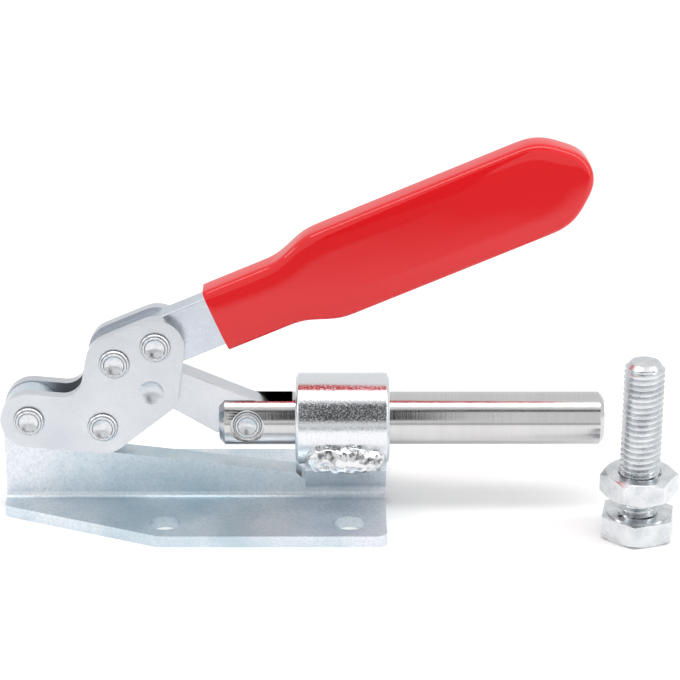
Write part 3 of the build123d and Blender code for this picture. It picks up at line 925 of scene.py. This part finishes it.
# ---- studio ----------------------------------------------------------------------------
# A white floor in a white room, with a wide softbox overhead and a small one at each side.  A
# small dark card close by, a wide one further off and a mat on the floor give the polished
# metal and the vinyl something to reflect; nothing but reflections sees the three.
FLOOR_HALF = 4.0
MAT_HEIGHT = 0.001
FLOOR_WHITE = (0.93, 0.93, 0.93)
ROOM_WHITE = (1.0, 1.0, 1.0, 1.0)
ROOM_LEVEL = 0.90
CARD_DARK = (0.03, 0.03, 0.033)
MAT_GREY = (0.16, 0.16, 0.16)
MAT_FADE = (-0.15, -0.24)
UPRIGHT = pi / 2


def plain_paint(name, colour):
    """A dull paint of one colour."""
    material, _, shader = new_material(name, metallic=0.0)
    shader.inputs["Base Color"].default_value = (*colour, 1.0)
    shader.inputs["Roughness"].default_value = 1.0
    shader.inputs["Specular IOR Level"].default_value = 0.0
    return material


def graded_paint():
    """The mat's paint: floor white at its near edge, grey from a little further off."""
    material = plain_paint("graded_mat", MAT_GREY)
    tree = material.node_tree
    graded = spread(tree, object_axis(tree, "Y"), MAT_FADE)
    colour = blend_colours(tree, graded, FLOOR_WHITE, MAT_GREY)
    tree.links.new(colour, tree.nodes["Principled BSDF"].inputs["Base Color"])
    return material


def studio_sheet(name, half_width, half_height, place, tilt, paint):
    """A flat staged rectangle, tilted about X from lying flat."""
    shape = bmesh.new()
    bmesh.ops.create_grid(shape, x_segments=1, y_segments=1, size=1.0)
    bmesh.ops.scale(shape, vec=(half_width, half_height, 1.0), verts=shape.verts)
    bmesh.ops.rotate(shape, cent=(0, 0, 0), matrix=Matrix.Rotation(tilt, 3, "X"), verts=shape.verts)
    bmesh.ops.translate(shape, vec=place, verts=shape.verts)
    sheet = new_piece(name, shape)
    sheet.data.materials.append(paint)
    return sheet


floor_paint = plain_paint("floor_paint", FLOOR_WHITE)
dark_card = plain_paint("dark_card", CARD_DARK)
studio_sheet("floor", FLOOR_HALF, FLOOR_HALF, (0, 0, 0), 0.0, floor_paint)
near_card = studio_sheet("near_card", 0.030, 0.072, (0.021, -0.15, 0.132), UPRIGHT, dark_card)
wide_card = studio_sheet("wide_card", 0.30, 0.17, (0.02, -0.62, 0.92), UPRIGHT, dark_card)
front_mat = studio_sheet("front_mat", 0.80, 0.41, (0.02, -0.54, MAT_HEIGHT), 0.0, graded_paint())
for card in (near_card, wide_card, front_mat):
    card.visible_camera = False
    card.visible_diffuse = False
    card.visible_shadow = False

room = bpy.data.worlds.new("studio_room")
bpy.context.scene.world = room
room.use_nodes = True
room_light = room.node_tree.nodes["Background"]
room_light.inputs["Color"].default_value = ROOM_WHITE
room_light.inputs["Strength"].default_value = ROOM_LEVEL


def soft_light(name, size, power, place, target):
    """A rectangular softbox that faces its target; size in metres, power in watts."""
    lamp = bpy.data.lights.new(name, "AREA")
    lamp.shape = "RECTANGLE"
    lamp.size, lamp.size_y = size
    lamp.energy = power
    holder = bpy.data.objects.new(name, lamp)
    holder.location = place
    facing = Vector(target) - Vector(place)
    holder.rotation_euler = facing.to_track_quat("-Z", "Y").to_euler()
    bpy.context.scene.collection.objects.link(holder)


for name, size, power, place, target in (
    ("overhead_softbox", (1.5, 0.24), 4.9, (0.02, -0.13, 1.0), (0.02, 0.0, 0.03)),
    ("right_softbox", (0.16, 0.9), 2.0, (0.85, -0.20, 0.46), (0.06, 0.0, 0.06)),
    ("left_softbox", (0.20, 0.3), 0.8, (-0.80, -0.15, 0.42), (0.0, 0.0, 0.06)),
):
    soft_light(name, size, power, place, target)


# ---- camera ----------------------------------------------------------------------------
# A long lens square to the side of the clamp, looking slightly down.
CAMERA_DISTANCE = 600 * MM
CAMERA_ELEVATION = radians(22)
CAMERA_TARGET = Vector((20.573, 0.0, 44.748)) * MM
SENSOR = 36.0
PICTURE_WIDTH = 680
FOCAL_PIXELS = 2400

camera_data = bpy.data.cameras.new("camera")
camera_data.sensor_width = SENSOR
camera_data.lens = SENSOR * FOCAL_PIXELS / PICTURE_WIDTH
camera_data.clip_start = 0.01
camera = bpy.data.objects.new("camera", camera_data)
toward_camera = Vector((0, -cos(CAMERA_ELEVATION), sin(CAMERA_ELEVATION)))
camera.location = CAMERA_TARGET + CAMERA_DISTANCE * toward_camera
camera.rotation_euler = (UPRIGHT - CAMERA_ELEVATION, 0, 0)
bpy.context.scene.collection.objects.link(camera)
bpy.context.scene.camera = camera
bpy.context.scene.view_settings.view_transform = "Standard"
